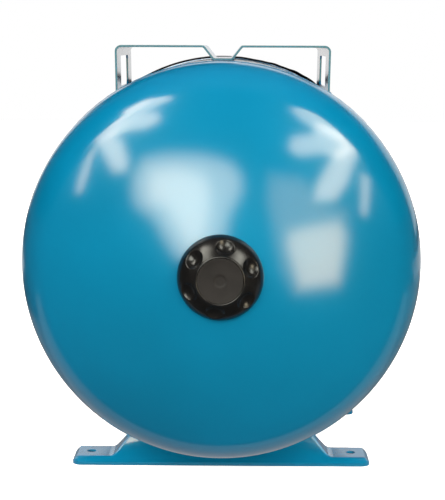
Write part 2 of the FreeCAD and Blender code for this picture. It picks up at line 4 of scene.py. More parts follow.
import bmesh
import bpy
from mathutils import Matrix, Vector

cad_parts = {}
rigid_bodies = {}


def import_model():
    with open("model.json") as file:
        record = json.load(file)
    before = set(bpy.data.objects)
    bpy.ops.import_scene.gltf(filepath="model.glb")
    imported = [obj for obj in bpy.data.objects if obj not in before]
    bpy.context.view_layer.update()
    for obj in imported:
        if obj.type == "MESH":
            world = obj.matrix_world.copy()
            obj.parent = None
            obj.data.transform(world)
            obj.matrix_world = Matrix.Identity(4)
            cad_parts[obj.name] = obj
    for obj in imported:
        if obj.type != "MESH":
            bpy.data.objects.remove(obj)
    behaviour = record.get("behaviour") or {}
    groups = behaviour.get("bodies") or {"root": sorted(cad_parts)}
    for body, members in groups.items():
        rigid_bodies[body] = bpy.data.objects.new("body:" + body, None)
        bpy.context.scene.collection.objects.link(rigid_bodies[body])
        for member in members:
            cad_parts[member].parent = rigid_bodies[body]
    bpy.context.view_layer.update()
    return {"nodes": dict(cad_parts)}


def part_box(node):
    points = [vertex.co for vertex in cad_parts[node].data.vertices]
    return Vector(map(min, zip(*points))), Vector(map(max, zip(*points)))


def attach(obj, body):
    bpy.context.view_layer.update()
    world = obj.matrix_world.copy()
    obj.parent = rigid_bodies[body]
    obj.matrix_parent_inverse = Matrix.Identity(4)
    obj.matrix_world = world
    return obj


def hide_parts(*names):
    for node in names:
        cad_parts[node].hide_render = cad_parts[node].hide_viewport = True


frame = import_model()
NODES = frame["nodes"]

# ------------------------------------------------------------------ sizes, in millimetres, as in the CAD
cyl_lo, cyl_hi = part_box("shell_cylinder")
MM = 0.001
Y0 = (cyl_lo.y + cyl_hi.y) / 2            # middle of the shell, row frame, metres
ZA = (cyl_lo.z + cyl_hi.z) / 2            # height of the axis
R, T, HALF, YW, GAP = 182.5, 1.5, 175.0, 163.0, 1.0
CROWN, KNUCKLE = 295.0, 55.6
HD = CROWN - math.sqrt((CROWN - KNUCKLE) ** 2 - (R - KNUCKLE) ** 2)
APEX_F, APEX_R = -(HALF + HD), HALF + HD


def fu(u):
    return APEX_F - u


def P(x, y, z):
    """Point from millimetres about the shell's axis and middle, to the row frame in metres."""
    return (x * MM, Y0 + y * MM, ZA + z * MM)


# ------------------------------------------------------------------ seeded value noise, for shapes
def _h(i, j, k):
    n = (i * 374761393 + j * 668265263 + k * 2147483647) & 0xFFFFFFFF
    n = ((n ^ (n >> 13)) * 1274126177) & 0xFFFFFFFF
    return ((n ^ (n >> 16)) & 0xFFFF) / 65535.0 * 2.0 - 1.0


def noise2(x, y, seed=0):
    i, j = math.floor(x), math.floor(y)
    fx, fy = x - i, y - j
    sx, sy = fx * fx * (3 - 2 * fx), fy * fy * (3 - 2 * fy)
    a = _h(i, j, seed) * (1 - sx) + _h(i + 1, j, seed) * sx
    b = _h(i, j + 1, seed) * (1 - sx) + _h(i + 1, j + 1, seed) * sx
    return a * (1 - sy) + b * sy


def smooth(a, b, x):
    t = min(1.0, max(0.0, (x - a) / (b - a)))
    return t * t * (3 - 2 * t)


# ------------------------------------------------------------------ materials
def principled(name):
    m = bpy.data.materials.new(name)
    m.use_nodes = True
    nt = m.node_tree
    b = nt.nodes.get("Principled BSDF")
    return m, nt, b


def link(nt, a, b):
    nt.links.new(a, b)


def coords(nt, scale=(1, 1, 1)):
    tc = nt.nodes.new("ShaderNodeTexCoord")
    mp = nt.nodes.new("ShaderNodeMapping")
    mp.inputs["Scale"].default_value = scale
    link(nt, tc.outputs["Object"], mp.inputs["Vector"])
    return mp.outputs["Vector"]


def noise_node(nt, vec, scale, detail=3.0, rough=0.5):
    n = nt.nodes.new("ShaderNodeTexNoise")
    n.inputs["Scale"].default_value = scale
    n.inputs["Detail"].default_value = detail
    n.inputs["Roughness"].default_value = rough
    link(nt, vec, n.inputs["Vector"])
    return n.outputs["Fac"]


def ramp(nt, fac, stops):
    r = nt.nodes.new("ShaderNodeValToRGB")
    els = r.color_ramp.elements
    while len(els) < len(stops):
        els.new(0.5)
    for e, (pos, col) in zip(els, stops):
        e.position = pos
        e.color = (*col, 1) if len(col) == 3 else col
    link(nt, fac, r.inputs["Fac"])
    return r.outputs["Color"]


def map_range(nt, fac, lo, hi, a=0.0, b=1.0):
    n = nt.nodes.new("ShaderNodeMapRange")
    n.inputs["From Min"].default_value = a
    n.inputs["From Max"].default_value = b
    n.inputs["To Min"].default_value = lo
    n.inputs["To Max"].default_value = hi
    link(nt, fac, n.inputs["Value"])
    return n.outputs["Result"]


def bump(nt, b, heights):
    """Chain of bumps: (height socket, strength, distance in metres)."""
    prev = None
    for h, s, d in heights:
        n = nt.nodes.new("ShaderNodeBump")
        n.inputs["Strength"].default_value = s
        n.inputs["Distance"].default_value = d
        link(nt, h, n.inputs["Height"])
        if prev is not None:
            link(nt, prev, n.inputs["Normal"])
        prev = n.outputs["Normal"]
    link(nt, prev, b.inputs["Normal"])


def srgb(r, g, b):
    f = lambda c: (c / 255 / 12.92) if c / 255 <= 0.04045 else ((c / 255 + 0.055) / 1.055) ** 2.4
    return (f(r), f(g), f(b))


TEAL = (0.0008, 0.122, 0.266)


def mat_paint(name, rough=(0.28, 0.33), peel=1.0, dust=0.0, coat=0.125):
    m, nt, b = principled(name)
    v = coords(nt)
    big = noise_node(nt, v, 7.0, 2.0)
    fine = noise_node(nt, v, 260.0, 2.0)
    speck = noise_node(nt, v, 1400.0, 1.0)
    c0 = tuple(k * 0.94 for k in TEAL)
    c1 = tuple(k * 1.06 for k in TEAL)
    col = ramp(nt, big, [(0.35, c0), (0.65, c1)])
    if dust:
        mix = nt.nodes.new("ShaderNodeMix")
        mix.data_type = "RGBA"
        link(nt, map_range(nt, speck, 0.0, dust, 0.62, 0.75), mix.inputs["Factor"])
        link(nt, col, mix.inputs["A"])
        mix.inputs["B"].default_value = (0.25, 0.33, 0.36, 1)
        col = mix.outputs["Result"]
    link(nt, col, b.inputs["Base Color"])
    link(nt, map_range(nt, noise_node(nt, v, 18.0, 3.0), rough[0], rough[1], 0.3, 0.7), b.inputs["Roughness"])
    b.inputs["Specular IOR Level"].default_value = 0.15
    b.inputs["Specular Tint"].default_value = (0.06, 0.86, 1.0, 1)
    b.inputs["Coat Weight"].default_value = 1.0
    b.inputs["Coat Roughness"].default_value = coat
    b.inputs["Coat IOR"].default_value = 1.5
    bump(nt, b, [(fine, 0.10 * peel, 0.0003), (speck, 0.03 * peel, 0.0001)])
    return m


def mat_black_plastic(name, rough=(0.30, 0.42), tone=0.012, spec=0.5, grain=0.10):
    m, nt, b = principled(name)
    v = coords(nt)
    col = ramp(nt, noise_node(nt, v, 60.0, 3.0), [(0.3, (tone * 0.9, tone, tone * 1.12)), (0.7, (tone * 1.35, tone * 1.45, tone * 1.6))])
    link(nt, col, b.inputs["Base Color"])
    link(nt, map_range(nt, noise_node(nt, v, 90.0, 4.0), rough[0], rough[1], 0.3, 0.7), b.inputs["Roughness"])
    b.inputs["Specular IOR Level"].default_value = spec
    b.inputs["Specular Tint"].default_value = (0.68, 0.87, 1.0, 1)
    bump(nt, b, [(noise_node(nt, v, 2200.0, 2.0), grain, 0.0001)])
    return m


def mat_rubber(name):
    m, nt, b = principled(name)
    v = coords(nt)
    col = ramp(nt, noise_node(nt, v, 120.0, 3.0), [(0.3, (0.012, 0.012, 0.013)), (0.7, (0.024, 0.024, 0.025))])
    link(nt, col, b.inputs["Base Color"])
    link(nt, map_range(nt, noise_node(nt, v, 220.0, 3.0), 0.62, 0.80, 0.3, 0.7), b.inputs["Roughness"])
    b.inputs["Sheen Weight"].default_value = 0.15
    bump(nt, b, [(noise_node(nt, v, 900.0, 3.0), 0.25, 0.0001)])
    return m


def mat_zinc(name, rough=(0.26, 0.42)):
    m, nt, b = principled(name)
    v = coords(nt)
    col = ramp(nt, noise_node(nt, v, 45.0, 4.0), [(0.25, (0.52, 0.55, 0.56)), (0.5, (0.66, 0.67, 0.66)), (0.8, (0.60, 0.60, 0.54))])
    link(nt, col, b.inputs["Base Color"])
    b.inputs["Metallic"].default_value = 1.0
    link(nt, map_range(nt, noise_node(nt, v, 160.0, 5.0, 0.65), rough[0], rough[1], 0.3, 0.7), b.inputs["Roughness"])
    vb = coords(nt, (1.0, 1.0, 12.0))
    bump(nt, b, [(noise_node(nt, v, 700.0, 3.0), 0.08, 0.0001), (noise_node(nt, vb, 220.0, 2.0), 0.05, 0.0001)])
    return m


def mat_brass(name):
    m, nt, b = principled(name)
    v = coords(nt)
    col = ramp(nt, noise_node(nt, v, 300.0, 3.0), [(0.3, (0.56, 0.38, 0.13)), (0.7, (0.74, 0.54, 0.22))])
    link(nt, col, b.inputs["Base Color"])
    b.inputs["Metallic"].default_value = 1.0
    link(nt, map_range(nt, noise_node(nt, v, 800.0, 3.0), 0.2, 0.34, 0.3, 0.7), b.inputs["Roughness"])
    w = nt.nodes.new("ShaderNodeTexWave")
    w.wave_type, w.bands_direction = "BANDS", "Y"
    w.inputs["Scale"].default_value = 2500.0
    w.inputs["Distortion"].default_value = 1.0
    link(nt, v, w.inputs["Vector"])
    bump(nt, b, [(w.outputs["Fac"], 0.08, 0.00005)])
    return m


def mat_steel_wire(name):
    m, nt, b = principled(name)
    v = coords(nt)
    col = ramp(nt, noise_node(nt, v, 500.0, 2.0), [(0.3, (0.36, 0.36, 0.37)), (0.7, (0.5, 0.5, 0.5))])
    link(nt, col, b.inputs["Base Color"])
    b.inputs["Metallic"].default_value = 1.0
    link(nt, map_range(nt, noise_node(nt, v, 900.0, 2.0), 0.25, 0.35, 0.3, 0.7), b.inputs["Roughness"])
    bump(nt, b, [(noise_node(nt, v, 3000.0, 1.0), 0.05, 0.00005)])
    return m


def mat_film(name):
    m, nt, b = principled(name)
    v = coords(nt)
    col = ramp(nt, noise_node(nt, v, 30.0, 3.0), [(0.3, (0.004, 0.004, 0.005)), (0.7, (0.010, 0.010, 0.011))])
    link(nt, col, b.inputs["Base Color"])
    link(nt, map_range(nt, noise_node(nt, v, 50.0, 3.0), 0.66, 0.82, 0.3, 0.7), b.inputs["Roughness"])
    b.inputs["Specular IOR Level"].default_value = 0.06
    bump(nt, b, [(noise_node(nt, coords(nt, (1, 2.5, 1)), 70.0, 3.0), 0.35, 0.0006), (noise_node(nt, v, 900.0, 2.0), 0.05, 0.0001)])
    return m


def mat_plate(name):
    m, nt, b = principled(name)
    v = coords(nt, (1.0, 1.0, 1.0))
    streak = noise_node(nt, coords(nt, (1.0, 0.03, 1.0)), 900.0, 3.0)
    col = ramp(nt, streak, [(0.3, (0.50, 0.51, 0.52)), (0.7, (0.60, 0.61, 0.62))])
    link(nt, col, b.inputs["Base Color"])
    b.inputs["Metallic"].default_value = 0.85
    link(nt, map_range(nt, noise_node(nt, v, 40.0, 3.0), 0.28, 0.38, 0.3, 0.7), b.inputs["Roughness"])
    bump(nt, b, [(streak, 0.06, 0.00005)])
    return m


M_PAINT = mat_paint("teal_enamel")
M_PAINT_SHEET = mat_paint("teal_enamel_sheet", (0.24, 0.30), 1.0, coat=0.10)
M_WELD = mat_paint("teal_enamel_weld", (0.22, 0.32), 2.5)
M_COVER = mat_black_plastic("black_polypropylene", (0.20, 0.27), 0.004, 0.40, 0.05)
M_DISC = mat_black_plastic("black_polypropylene_matt", (0.42, 0.52), 0.010, 0.14, 0.14)
M_INNER = mat_black_plastic("black_nylon", (0.4, 0.5), 0.014)
M_RUBBER = mat_rubber("black_rubber")
M_ZINC = mat_zinc("zinc_plate")
M_ZINC_BRIGHT = mat_zinc("zinc_plate_bright", (0.18, 0.32))
M_BRASS = mat_brass("turned_brass")
M_WIRE = mat_steel_wire("drawn_wire")
# black of the wrap film; on the film's thickened edge it also stands in for the film's shadow, painted shade
M_FILM = mat_film("black_film")
M_PLATE = mat_plate("satin_plate")


# ------------------------------------------------------------------ mesh helpers
def make(name, verts, faces, mat, body, repl=(), sharp=35.0, extra=None):
    me = bpy.data.meshes.new(name)
    me.from_pydata([tuple(v) for v in verts], [], faces)
    bm = bmesh.new()
    bm.from_mesh(me)
    bmesh.ops.remove_doubles(bm, verts=bm.verts, dist=1e-7)
    bmesh.ops.recalc_face_normals(bm, faces=bm.faces)
    bm.to_mesh(me)
    bm.free()
    me.validate()
    for p in me.polygons:
        p.use_smooth = True
    if sharp is not None:
        me.set_sharp_from_angle(angle=math.radians(sharp))
    me.materials.append(mat)
    o = bpy.data.objects.new(name, me)
    bpy.context.scene.collection.objects.link(o)
    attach(o, body)
    if repl:
        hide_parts(*repl)
    return o


def lathe(name, prof, segs, mat, body, repl=(), sharp=35.0, wobble=None, closed=True):
    """Closed ring of (r, y) in millimetres turned about the shell's axis."""
    verts, faces = [], []
    n = len(prof)
    for j in range(segs):
        a = 2 * math.pi * j / segs
        for i, (r, y) in enumerate(prof):
            if wobble:
                r, y = wobble(r, y, a, i)
            verts.append(P(r * math.cos(a), y, r * math.sin(a)))
    m = n if closed else n - 1
    for j in range(segs):
        k = (j + 1) % segs
        for i in range(m):
            i2 = (i + 1) % n
            faces.append((j * n + i, k * n + i, k * n + i2, j * n + i2))
    return make(name, verts, faces, mat, body, repl, sharp)


def grid_faces(nu, nv, wrap_u=False, base=0):
    """Faces of a grid of nu by nv points, index u * nv + v."""
    f = []
    for u in range(nu if wrap_u else nu - 1):
        u2 = (u + 1) % nu
        for v in range(nv - 1):
            f.append((base + u * nv + v, base + u2 * nv + v, base + u2 * nv + v + 1, base + u * nv + v + 1))
    return f


def arc(cx, cy, r, a0, a1, n):
    return [(cx + r * math.cos(math.radians(a0 + (a1 - a0) * i / n)), cy + r * math.sin(math.radians(a0 + (a1 - a0) * i / n))) for i in range(n + 1)]


def dome_profile(inset, r_end, n_k, n_c, sign):
    """Knuckle then crown, from the tangent line to radius r_end."""
    k, c = KNUCKLE - inset, CROWN - inset
    a1 = math.degrees(math.acos((R - KNUCKLE) / (CROWN - KNUCKLE)))
    a2 = math.degrees(math.acos(r_end / c))
    pts = arc(R - KNUCKLE, HALF, k, 0, a1, n_k) + arc(0, HALF + HD - CROWN, c, a1, a2, n_c)[1:]
    return [(x, sign * y) for x, y in pts]


def dome_y(r, inset, sign):
    c = CROWN - inset
    return sign * (HALF + HD - CROWN + math.sqrt(c * c - r * r))


# ------------------------------------------------------------------ shell
def front_head():
    ym, ymi = dome_y(28.0, 0, -1), dome_y(29.4, T, -1)
    yb = fu(-14.0)
    prof = [(R - T, -(YW + GAP)), (R, -(YW + GAP)), (R, -(YW + 6)), (R, -(YW + 9))]
    prof += dome_profile(0, 28.0, 40, 60, -1)
    # rolled mouth of the well, down its wall, and its floor
    prof += [(27.2, ym + 0.12), (26.3, ym + 0.5), (25.4, ym + 1.2), (24.7, ym + 2.1), (24.2, ym + 3.1), (24.0, ym + 4.2), (24.0, yb - 3.0)]
    prof += [(23.85, yb - 1.6), (23.4, yb - 0.7), (22.7, yb - 0.15), (21.8, yb), (16.0, yb), (11.06, yb), (11.06, yb + T), (22.0, yb + T), (23.9, yb + 1.2), (25.2, yb), (25.5, yb - 2.0), (25.5, ym + 4.4), (26.0, ym + 3.0), (27.2, ymi + 0.6), (29.4, ymi)]
    inner = dome_profile(T, 29.4, 20, 24, -1)
    prof += list(reversed(inner))[1:]
    prof += [(R - T, -(YW + 9))]
    lathe("front_head_drawn", prof, 320, M_PAINT, "vessel", ("front_head",), 50)


def rear_head():
    n_r = 50.06
    prof = [(R - T, YW + GAP), (R, YW + GAP), (R, YW + 6), (R, YW + 9)]
    prof += dome_profile(0, n_r, 40, 56, 1)
    prof += list(reversed(dome_profile(T, n_r, 20, 24, 1)))
    prof += [(R - T, YW + 9)]
    lathe("rear_head_drawn", prof, 320, M_PAINT, "vessel", ("rear_head",), 50)


def shell():
    ys = [-(YW - GAP)] + [-160 + 320.0 * i / 44 for i in range(45)] + [YW - GAP]
    prof = [(R, y) for y in ys] + [(R - T, y) for y in reversed(ys)]

    def wob(r, y, a, i):
        # rolled sheet is never perfectly round: a few hundredths of a millimetre, none at the ends
        k = smooth(YW, YW - 30, abs(y))
        d = 0.10 * noise2(a * 6 / math.pi * 2, y / 55.0 + 9, 3) * k
        w = smooth(0, math.pi / 6, min(a, 2 * math.pi - a))
        return r + d * w - 0.08 * k, y

    lathe("shell_rolled", prof, 320, M_PAINT, "vessel", ("shell_cylinder",), 50, wob)


def girth(name, node, yc, seed):
    segs, nb = 1100, 9
    verts, faces = [], []
    for j in range(segs):
        a = 2 * math.pi * j / segs
        c, s = math.cos(a), math.sin(a)
        ph = a * R / 2.1
        t = (ph / (2 * math.pi) * 2 * math.pi) % (2 * math.pi)
        rip = 0.5 + 0.5 * math.cos(t)
        w = 3.1 + 0.25 * noise2(a * 9, 1.0, seed)
        off = 0.2 * noise2(a * 5, 4.0, seed)
        for i in range(nb):
            q = -1 + 2 * i / (nb - 1)
            bulge = (1 - q * q)
            # curved ripple: the crest lags towards the edges
            tt = t + 1.1 * (q * q)
            rr = R + 0.02 + bulge * (0.62 + 0.14 * (0.5 + 0.5 * math.cos(tt)))
            y = yc + off + q * w
            verts.append(P(rr * c, y, rr * s))
        # underside, inside the sheet
        verts.append(P((R - 0.7) * c, yc + w * 0.6, (R - 0.7) * s))
        verts.append(P((R - 0.7) * c, yc - w * 0.6, (R - 0.7) * s))
    n = nb + 2
    for j in range(segs):
        k = (j + 1) % segs
        for i in range(n):
            i2 = (i + 1) % n
            faces.append((j * n + i, k * n + i, k * n + i2, j * n + i2))
    make(name, verts, faces, M_WELD, "vessel", (node,), 70)


def seam():
    a0 = math.radians(180 + 38.9)
    n = 760
    y0, y1 = -(YW - 6), YW - 6
    verts, faces = [], []
    nb = 7
    for j in range(n + 1):
        y = y0 + (y1 - y0) * j / n
        e = min(1.0, min(j, n - j) / 6.0) ** 0.5
        t = y / 2.0 * 2 * math.pi
        da = math.radians(0.10) * noise2(y / 14.0, 2.0, 5)
        for i in range(nb):
            q = -1 + 2 * i / (nb - 1)
            rr = R - 0.05 + (0.07 + (1 - q * q) * (0.42 + 0.10 * (0.5 + 0.5 * math.cos(t + 1.1 * q * q)))) * e
            a = a0 + da + math.radians(0.85) * q
            verts.append(P(rr * math.cos(a), y, rr * math.sin(a)))
        rr = R - 0.7
        for q in (0.7, -0.7):
            a = a0 + da + math.radians(0.85) * q
            verts.append(P(rr * math.cos(a), y, rr * math.sin(a)))
    m = nb + 2
    for j in range(n):
        for i in range(m):
            i2 = (i + 1) % m
            faces.append((j * m + i, (j + 1) * m + i, (j + 1) * m + i2, j * m + i2))
    faces.append(tuple(range(m)))
    faces.append(tuple(n * m + i for i in reversed(range(m))))
    make("seam_bead", verts, faces, M_WELD, "vessel", ("seam_weld",), 70)


def bead(path, rad, name, node, seed=1, pitch=2.0, mat=None, squash=0.8, up=None, body="vessel", slot="teal_paint"):
    """Rippled weld bead as a tapered tube along path (millimetres)."""
    verts, faces = [], []
    m = 10
    pts = [Vector(p) for p in path]
    run = 0.0
    total = sum((pts[i + 1] - pts[i]).length for i in range(len(pts) - 1))
    for j, p in enumerate(pts):
        if j:
            run += (pts[j] - pts[j - 1]).length
        d = (pts[min(j + 1, len(pts) - 1)] - pts[max(j - 1, 0)]).normalized()
        n1 = (up(p) if up else Vector((p.x, 0, p.z)).normalized())
        n1 = (n1 - d * n1.dot(d)).normalized()
        n2 = d.cross(n1)
        end = min(run, total - run)
        taper = math.sqrt(max(0.0, min(1.0, end / (rad * 1.6)))) * 0.85 + 0.15
        rr = rad * taper * (1 + 0.07 * math.cos(run / pitch * 2 * math.pi) + 0.06 * noise2(run / 5.0, seed, seed))
        for i in range(m):
            a = 2 * math.pi * i / m
            q = p + n1 * (rr * squash * math.cos(a)) + n2 * (rr * math.sin(a))
            verts.append(P(*q))
    L = len(pts)
    for j in range(L - 1):
        for i in range(m):
            i2 = (i + 1) % m
            faces.append((j * m + i, j * m + i2, (j + 1) * m + i2, (j + 1) * m + i))
    faces.append(tuple(reversed(range(m))))
    faces.append(tuple((L - 1) * m + i for i in range(m)))
    return verts, faces


def join_beads(name, beads, mat, node):
    verts, faces = [], []
    for v, f in beads:
        b = len(verts)
        verts += v
        faces += [tuple(b + i for i in q) for q in f]
    make(name, verts, faces, mat, "vessel", (node,), 75)


FOOT_Y, HW = 98.0, 22.5


def foot_welds():
    beads = []
    x_tip, sr = 76.29, R + 0.2
    half = math.degrees(math.asin(x_tip / sr)) - 4.0
    for yc in (-FOOT_Y, FOOT_Y):
        for sy in (-1, 1):
            for a0, a1 in ((270 - half, 270 - 7.0), (270 + 7.0, 270 + half)):
                n = 90
                path = []
                for i in range(n + 1):
                    a = math.radians(a0 + (a1 - a0) * i / n)
                    off = 12.7 - 1.0 * abs(math.degrees(a) - 270) / 21.0
                    path.append(((R + 1.0) * math.cos(a), yc + sy * (off + 0.9), (R + 1.0) * math.sin(a)))
                beads.append(bead(path, 2.1, "", "", seed=int(a0) % 7 + sy + 3))
    join_beads("foot_beads", beads, M_WELD, "foot_welds")


def bracket_welds():
    beads = []
    for sx in (-1, 1):
        for y0, ln in ((-89.0, 40.0), (49.0, 40.0)):
            path = [(sx * 9.9, y0 + ln * i / 60, R + 1.0) for i in range(61)]
            beads.append(bead(path, 1.35, "", "", seed=3 + sx, pitch=1.8))
        for y0, ln in ((-90.0, 35.0), (55.0, 35.0)):
            x = 102.9
            z = math.sqrt(R ** 2 - x ** 2)
            path = [(sx * (x + 0.4), y0 + ln * i / 56, z + 0.4) for i in range(57)]
            beads.append(bead(path, 2.0, "", "", seed=5 + sx, pitch=2.0))
    join_beads("bracket_beads", beads, M_WELD, "bracket_welds")


# ------------------------------------------------------------------ valve cover
def smin(a, b, k):
    h = max(0.0, min(1.0, 0.5 + 0.5 * (b - a) / k))
    return b * (1 - h) + a * h - k * h * (1 - h)


def bez(p0, p1, p2, p3, n):
    out = []
    for i in range(n + 1):
        t = i / n
        a, b, c, d = (1 - t) ** 3, 3 * t * (1 - t) ** 2, 3 * t * t * (1 - t), t ** 3
        out.append((a * p0[0] + b * p1[0] + c * p2[0] + d * p3[0], a * p0[1] + b * p1[1] + c * p2[1] + d * p3[1]))
    return out


def valve_cover():
    # outer profile from the disc's seat out to the rim: (r, u), u outward from the head's apex
    prof = [(19.6, 16.6), (19.6, 18.75), (19.68, 18.98), (19.9, 19.13), (20.3, 19.19), (20.7, 19.15), (21.05, 19.0), (21.35, 18.72), (21.65, 18.36)]
    prof += bez((21.9, 18.05), (27.0, 14.6), (34.6, 9.6), (36.6, 2.4), 84)
    prof += [(36.85, 1.5), (37.05, 0.7), (37.15, -0.2), (37.18, -1.2), (37.05, -1.7), (36.7, -1.98), (36.0, -2.0)]
    segs = 384
    sc_r, sc_u = 32.8, 18.4
    centres = [(sc_r * math.cos(math.radians(21.5 + 60 * i)), sc_r * math.sin(math.radians(21.5 + 60 * i))) for i in range(6)]
    verts, faces = [], []
    n = len(prof)
    for j in range(segs):
        a = 2 * math.pi * j / segs
        c, s = math.cos(a), math.sin(a)
        for i, (r, u) in enumerate(prof):
            x, z = r * c, r * s
            if 20.6 < r < 36.9 and u > 2.0:
                for cx, cz in centres:
                    # thumb scoop: an ellipsoid, wider round the cover than along its radius
                    er = math.hypot(cx, cz)
                    dr = (x * cx + z * cz) / er - er
                    dt = (-x * cz + z * cx) / er
                    q = (dr / 11.0) ** 2 + (dt / 11.2) ** 2
                    if q < 1.25:
                        us = sc_u - 11.0 * math.sqrt(max(0.0, 1 - q)) if q < 1 else sc_u + 30 * (q - 1)
                        u = smin(u, us, 0.9)
            verts.append(P(x, fu(u), z))
    # underside: back up inside the rim, to the ledge that carries the sleeve's flange
    inner = [(36.0, 0.85), (33.4, 0.85), (33.4, 3.0), (31.0, 4.6), (26.0, 5.4), (22.5, 6.0), (20.6, 8.0), (20.0, 12.6), (19.6, 13.0), (17.6, 13.0), (17.6, 14.67), (19.6, 14.67)]
    b = len(verts)
    m = len(inner)
    for j in range(segs):
        a = 2 * math.pi * j / segs
        for r, u in inner:
            verts.append(P(r * math.cos(a), fu(u), r * math.sin(a)))
    for j in range(segs):
        k = (j + 1) % segs
        for i in range(n - 1):
            faces.append((j * n + i, k * n + i, k * n + i + 1, j * n + i + 1))
        faces.append((j * n + n - 1, k * n + n - 1, b + k * m, b + j * m))
        for i in range(m - 1):
            faces.append((b + j * m + i, b + k * m + i, b + k * m + i + 1, b + j * m + i + 1))
        faces.append((b + j * m + m - 1, b + k * m + m - 1, k * n, j * n))
    make("cover_moulding", verts, faces, M_COVER, "cover", ("valve_cover",), 60)
    # centre disc: slightly dished, with the gate dimple in its middle
    top = [(0.05, 18.20), (1.5, 18.20), (3.0, 18.19), (3.9, 18.21), (4.6, 18.32), (5.2, 18.48), (5.8, 18.57), (7.0, 18.61), (9.0, 18.62), (12.0, 18.66), (15.0, 18.76), (17.5, 18.92), (18.8, 19.03), (19.2, 19.05), (19.42, 18.95), (19.5, 18.7)]
    low = [(19.5, 16.75), (19.2, 16.45), (12.0, 16.45), (0.05, 16.45)]
    lathe("cover_centre_disc", [(r, fu(u)) for r, u in top + low], 192, M_DISC, "cover", ("cover_disc",), 50)


def seal_ring():
    prof = [(33.7, -1.5), (33.9, -1.8), (34.4, -1.86), (35.2, -1.86), (35.7, -1.8), (35.85, -1.5), (35.88, 0.5), (35.7, 0.78), (33.9, 0.78), (33.65, 0.5)]
    lathe("cover_seal_soft", [(r, fu(u)) for r, u in prof], 160, M_RUBBER, "cover_seal", ("cover_seal_ring",), 50)


# ------------------------------------------------------------------ threads
def thread_tube(name, bore, prof_fn, v0, v1, pitch, segs, steps, mat, body, repl, to_y, back=None):
    """Tube about the axis with a helical thread: prof_fn(v, phase) gives the outside radius."""
    verts, faces = [], []
    for j in range(segs):
        a = 2 * math.pi * j / segs
        for i in range(steps + 1):
            v = v0 + (v1 - v0) * i / steps
            ph = (v / pitch - j / segs) % 1.0
            r = prof_fn(v, ph)
            verts.append(P(r * math.cos(a), to_y(v), r * math.sin(a)))
        for v in [v1, v0]:
            verts.append(P(bore * math.cos(a), to_y(v), bore * math.sin(a)))
    n = steps + 3
    for j in range(segs):
        k = (j + 1) % segs
        for i in range(n):
            i2 = (i + 1) % n
            faces.append((j * n + i, k * n + i, k * n + i2, j * n + i2))
    return make(name, verts, faces, mat, body, repl, 40)


def tri_thread(ph, depth, flat=0.12):
    """Depth below the crest of a rounded V thread."""
    x = abs(ph - 0.5) * 2
    x = (x - flat) / (1 - 2 * flat)
    x = min(1.0, max(0.0, x))
    return depth * (1 - (x * x * (3 - 2 * x) * 0.35 + x * 0.65))


def nozzle():
    n_lo, n_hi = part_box("water_nozzle")
    y0 = (n_lo.y - Y0) / MM
    y1 = (n_hi.y - Y0) / MM
    thr0, thr1 = y1 - 21.0, y1

    def prof(v, ph):
        if v < thr0 - 0.4:
            return 17.5
        if v < thr0:
            return 17.5 - (v - thr0 + 0.4) * 2.2
        r = 16.62
        run = smooth(thr0, thr0 + 1.2, v)
        d = tri_thread(ph, 1.35) * run
        end = max(0.0, v - (thr1 - 1.4)) * 1.1
        return max(15.0, r - max(d, min(end, 1.55)))

    thread_tube("water_nozzle_cut", 12.5, prof, y0, y1, 2.309, 144, 250, M_ZINC, "vessel", ("water_nozzle",), lambda v: v)


